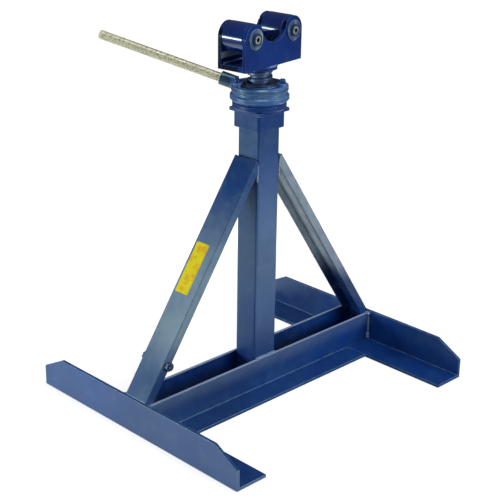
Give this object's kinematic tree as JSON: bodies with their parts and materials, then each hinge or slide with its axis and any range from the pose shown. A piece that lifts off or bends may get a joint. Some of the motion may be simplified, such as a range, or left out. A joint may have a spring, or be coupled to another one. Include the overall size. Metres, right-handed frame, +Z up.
{
  "type": "cable drum jack",
  "caption": "Welded stand with a ratchet screw lift and a roller head that carries the spindle of a cable drum.",
  "frame": {"origin": "On the floor under the centre of the post, in the middle of the foot plate between the rails.", "axes": "X along the two cross rails, from foot to foot; Y along the feet, the handle leaning towards +Y at rest; Z up along the lifting screw. At rest the head is turned 7 degrees about Z, so the roller axles lie 7 degrees off Y."},
  "size_m": [0.67, 0.585, 0.7821],
  "materials": {
    "paint": "semi-gloss blue enamel",
    "head_paint": "gloss blue enamel",
    "roller_paint": "high-gloss blue enamel",
    "zinc": "zinc plated",
    "bolt_steel": "zinc plated",
    "axle_steel": "turned",
    "screw_steel": "oiled, dark",
    "bearing_steel": "ground",
    "bronze": "turned bronze"
  },
  "bodies": {
    "frame": {"foot_left": "paint", "foot_right": "paint", "rail_front": "paint", "rail_back": "paint", "post": "paint", "post_base_plate": "paint", "collar": "paint", "top_plate": "paint", "brace_left": "paint", "brace_right": "paint", "brace_bolt": "bolt_steel", "brace_nut": "bolt_steel", "bearing_housing": "paint", "lower_race": "bearing_steel", "ball_cage": "bearing_steel"},
    "nut": {"lift_nut": "paint", "ratchet_wheel": "paint", "retaining_ring": "bearing_steel", "upper_race": "bearing_steel"},
    "lever": {"lever_yoke": "paint", "pawl_caps": "bolt_steel", "spring_raise": "bearing_steel", "spring_lower": "bearing_steel", "handle_bar": "zinc"},
    "pawl_raise": {"pawl_raise": "bolt_steel", "knob_raise": "paint"},
    "pawl_lower": {"pawl_lower": "bolt_steel", "knob_lower": "paint"},
    "screw": {"screw": "screw_steel", "guide_block": "screw_steel", "guide_pin": "bolt_steel"},
    "head": {"head_boss": "head_paint", "head_floor": "head_paint", "side_plate_front": "head_paint", "side_plate_back": "head_paint", "axles": "axle_steel", "axle_washers": "head_paint", "axle_nuts": "axle_steel"},
    "roller_left": {"roller_left": "roller_paint", "bushes_left": "bronze"},
    "roller_right": {"roller_right": "roller_paint", "bushes_right": "bronze"}
  },
  "joints": [
    {"name": "nut_spin", "type": "hinge", "parent": "frame", "child": "nut", "pos_m": [0, 0, 0.626], "axis": [0, 0, -1], "range_deg": [0, 14400]},
    {"name": "screw_lift", "type": "slide", "parent": "frame", "child": "screw", "axis": [0, 0, 1], "range_m": [0, 0.48]},
    {"name": "lever_swing", "type": "hinge", "parent": "nut", "child": "lever", "pos_m": [0, 0, 0.645], "axis": [0, 0, 1], "continuous": true},
    {"name": "pawl_raise_lift", "type": "slide", "parent": "lever", "child": "pawl_raise", "axis": [0, 0, 1], "range_m": [0, 0.006], "stiffness_N_per_m": 700, "springref_m": -0.01, "deforming": ["spring_raise"]},
    {"name": "pawl_lower_lift", "type": "slide", "parent": "lever", "child": "pawl_lower", "axis": [0, 0, 1], "range_m": [0, 0.006], "stiffness_N_per_m": 700, "springref_m": -0.01, "deforming": ["spring_lower"]},
    {"name": "head_swivel", "type": "hinge", "parent": "screw", "child": "head", "pos_m": [0, 0, 0.69], "axis": [0, 0, 1], "continuous": true},
    {"name": "roller_left_spin", "type": "hinge", "parent": "head", "child": "roller_left", "pos_m": [-0.05906, -0.00725, 0.7531], "axis": [-0.1219, 0.9925, 0], "continuous": true},
    {"name": "roller_right_spin", "type": "hinge", "parent": "head", "child": "roller_right", "pos_m": [0.05906, 0.00725, 0.7531], "axis": [-0.1219, 0.9925, 0], "continuous": true}
  ],
  "couplings": [
    {"joint": "nut_spin", "follows": "screw_lift", "rad_per_m": 523.6}
  ]
}
